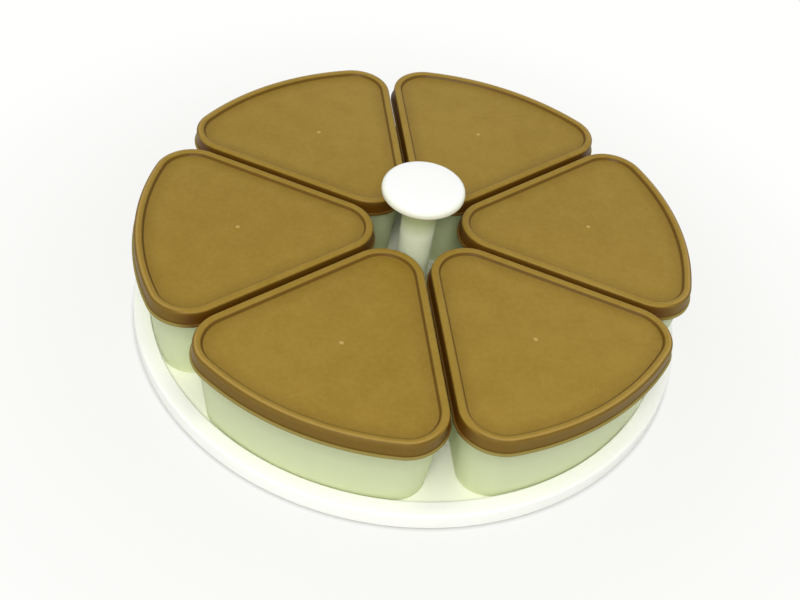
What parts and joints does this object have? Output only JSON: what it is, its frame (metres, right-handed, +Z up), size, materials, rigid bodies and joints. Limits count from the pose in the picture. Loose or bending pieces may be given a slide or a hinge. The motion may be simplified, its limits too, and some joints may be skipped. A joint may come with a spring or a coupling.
{
  "type": "lazy susan turntable",
  "caption": "Revolving round tray on a ball bearing base, with wedge-shaped lidded food containers round a central lifting handle.",
  "frame": {"origin": "on the table, on the spin axis, at the underside of the feet", "axes": "+Z up along the spin axis; +X through the middle of container_1"},
  "size_m": [0.318, 0.318, 0.089],
  "materials": {
    "white_plastic": "satin white moulding",
    "brown_plastic": "fine matt texture",
    "natural_plastic": "milky and translucent, uncoloured",
    "foot_rubber": "matt",
    "nylon": "satin",
    "bearing_steel": "zinc plated or polished"
  },
  "bodies": {
    "base": {"base_disc": "white_plastic", "rubber_feet": "foot_rubber", "pivot_bush": "nylon"},
    "bearing": {"ball_cage": "nylon", "bearing_balls": "bearing_steel"},
    "turntable": {"tray": "white_plastic", "handle_post": "white_plastic", "handle_knob": "white_plastic", "pivot_screw": "bearing_steel", "pivot_washer": "bearing_steel"},
    "container_1": {"container_1": "natural_plastic"},
    "container_2": {"container_2": "natural_plastic"},
    "container_3": {"container_3": "natural_plastic"},
    "container_4": {"container_4": "natural_plastic"},
    "container_5": {"container_5": "natural_plastic"},
    "container_6": {"container_6": "natural_plastic"},
    "lid_1": {"lid_1": "brown_plastic"},
    "lid_2": {"lid_2": "brown_plastic"},
    "lid_3": {"lid_3": "brown_plastic"},
    "lid_4": {"lid_4": "brown_plastic"},
    "lid_5": {"lid_5": "brown_plastic"},
    "lid_6": {"lid_6": "brown_plastic"}
  },
  "joints": [
    {"name": "tray_spin", "type": "hinge", "parent": "base", "child": "turntable", "pos_m": [0, 0, 0.005], "axis": [0, 0, 1], "continuous": true},
    {"name": "cage_spin", "type": "hinge", "parent": "base", "child": "bearing", "pos_m": [0, 0, 0.003], "axis": [0, 0, 1], "continuous": true},
    {"name": "container_1_lift", "type": "slide", "parent": "turntable", "child": "container_1", "axis": [0, 0, 1], "range_m": [0, 0.1]},
    {"name": "container_2_lift", "type": "slide", "parent": "turntable", "child": "container_2", "axis": [0, 0, 1], "range_m": [0, 0.1]},
    {"name": "container_3_lift", "type": "slide", "parent": "turntable", "child": "container_3", "axis": [0, 0, 1], "range_m": [0, 0.1]},
    {"name": "container_4_lift", "type": "slide", "parent": "turntable", "child": "container_4", "axis": [0, 0, 1], "range_m": [0, 0.1]},
    {"name": "container_5_lift", "type": "slide", "parent": "turntable", "child": "container_5", "axis": [0, 0, 1], "range_m": [0, 0.1]},
    {"name": "container_6_lift", "type": "slide", "parent": "turntable", "child": "container_6", "axis": [0, 0, 1], "range_m": [0, 0.1]},
    {"name": "lid_1_lift", "type": "slide", "parent": "container_1", "child": "lid_1", "axis": [0, 0, 1], "range_m": [0, 0.06]},
    {"name": "lid_2_lift", "type": "slide", "parent": "container_2", "child": "lid_2", "axis": [0, 0, 1], "range_m": [0, 0.06]},
    {"name": "lid_3_lift", "type": "slide", "parent": "container_3", "child": "lid_3", "axis": [0, 0, 1], "range_m": [0, 0.06]},
    {"name": "lid_4_lift", "type": "slide", "parent": "container_4", "child": "lid_4", "axis": [0, 0, 1], "range_m": [0, 0.06]},
    {"name": "lid_5_lift", "type": "slide", "parent": "container_5", "child": "lid_5", "axis": [0, 0, 1], "range_m": [0, 0.06]},
    {"name": "lid_6_lift", "type": "slide", "parent": "container_6", "child": "lid_6", "axis": [0, 0, 1], "range_m": [0, 0.06]}
  ],
  "couplings": [
    {"joint": "cage_spin", "follows": "tray_spin", "ratio": 0.5}
  ]
}
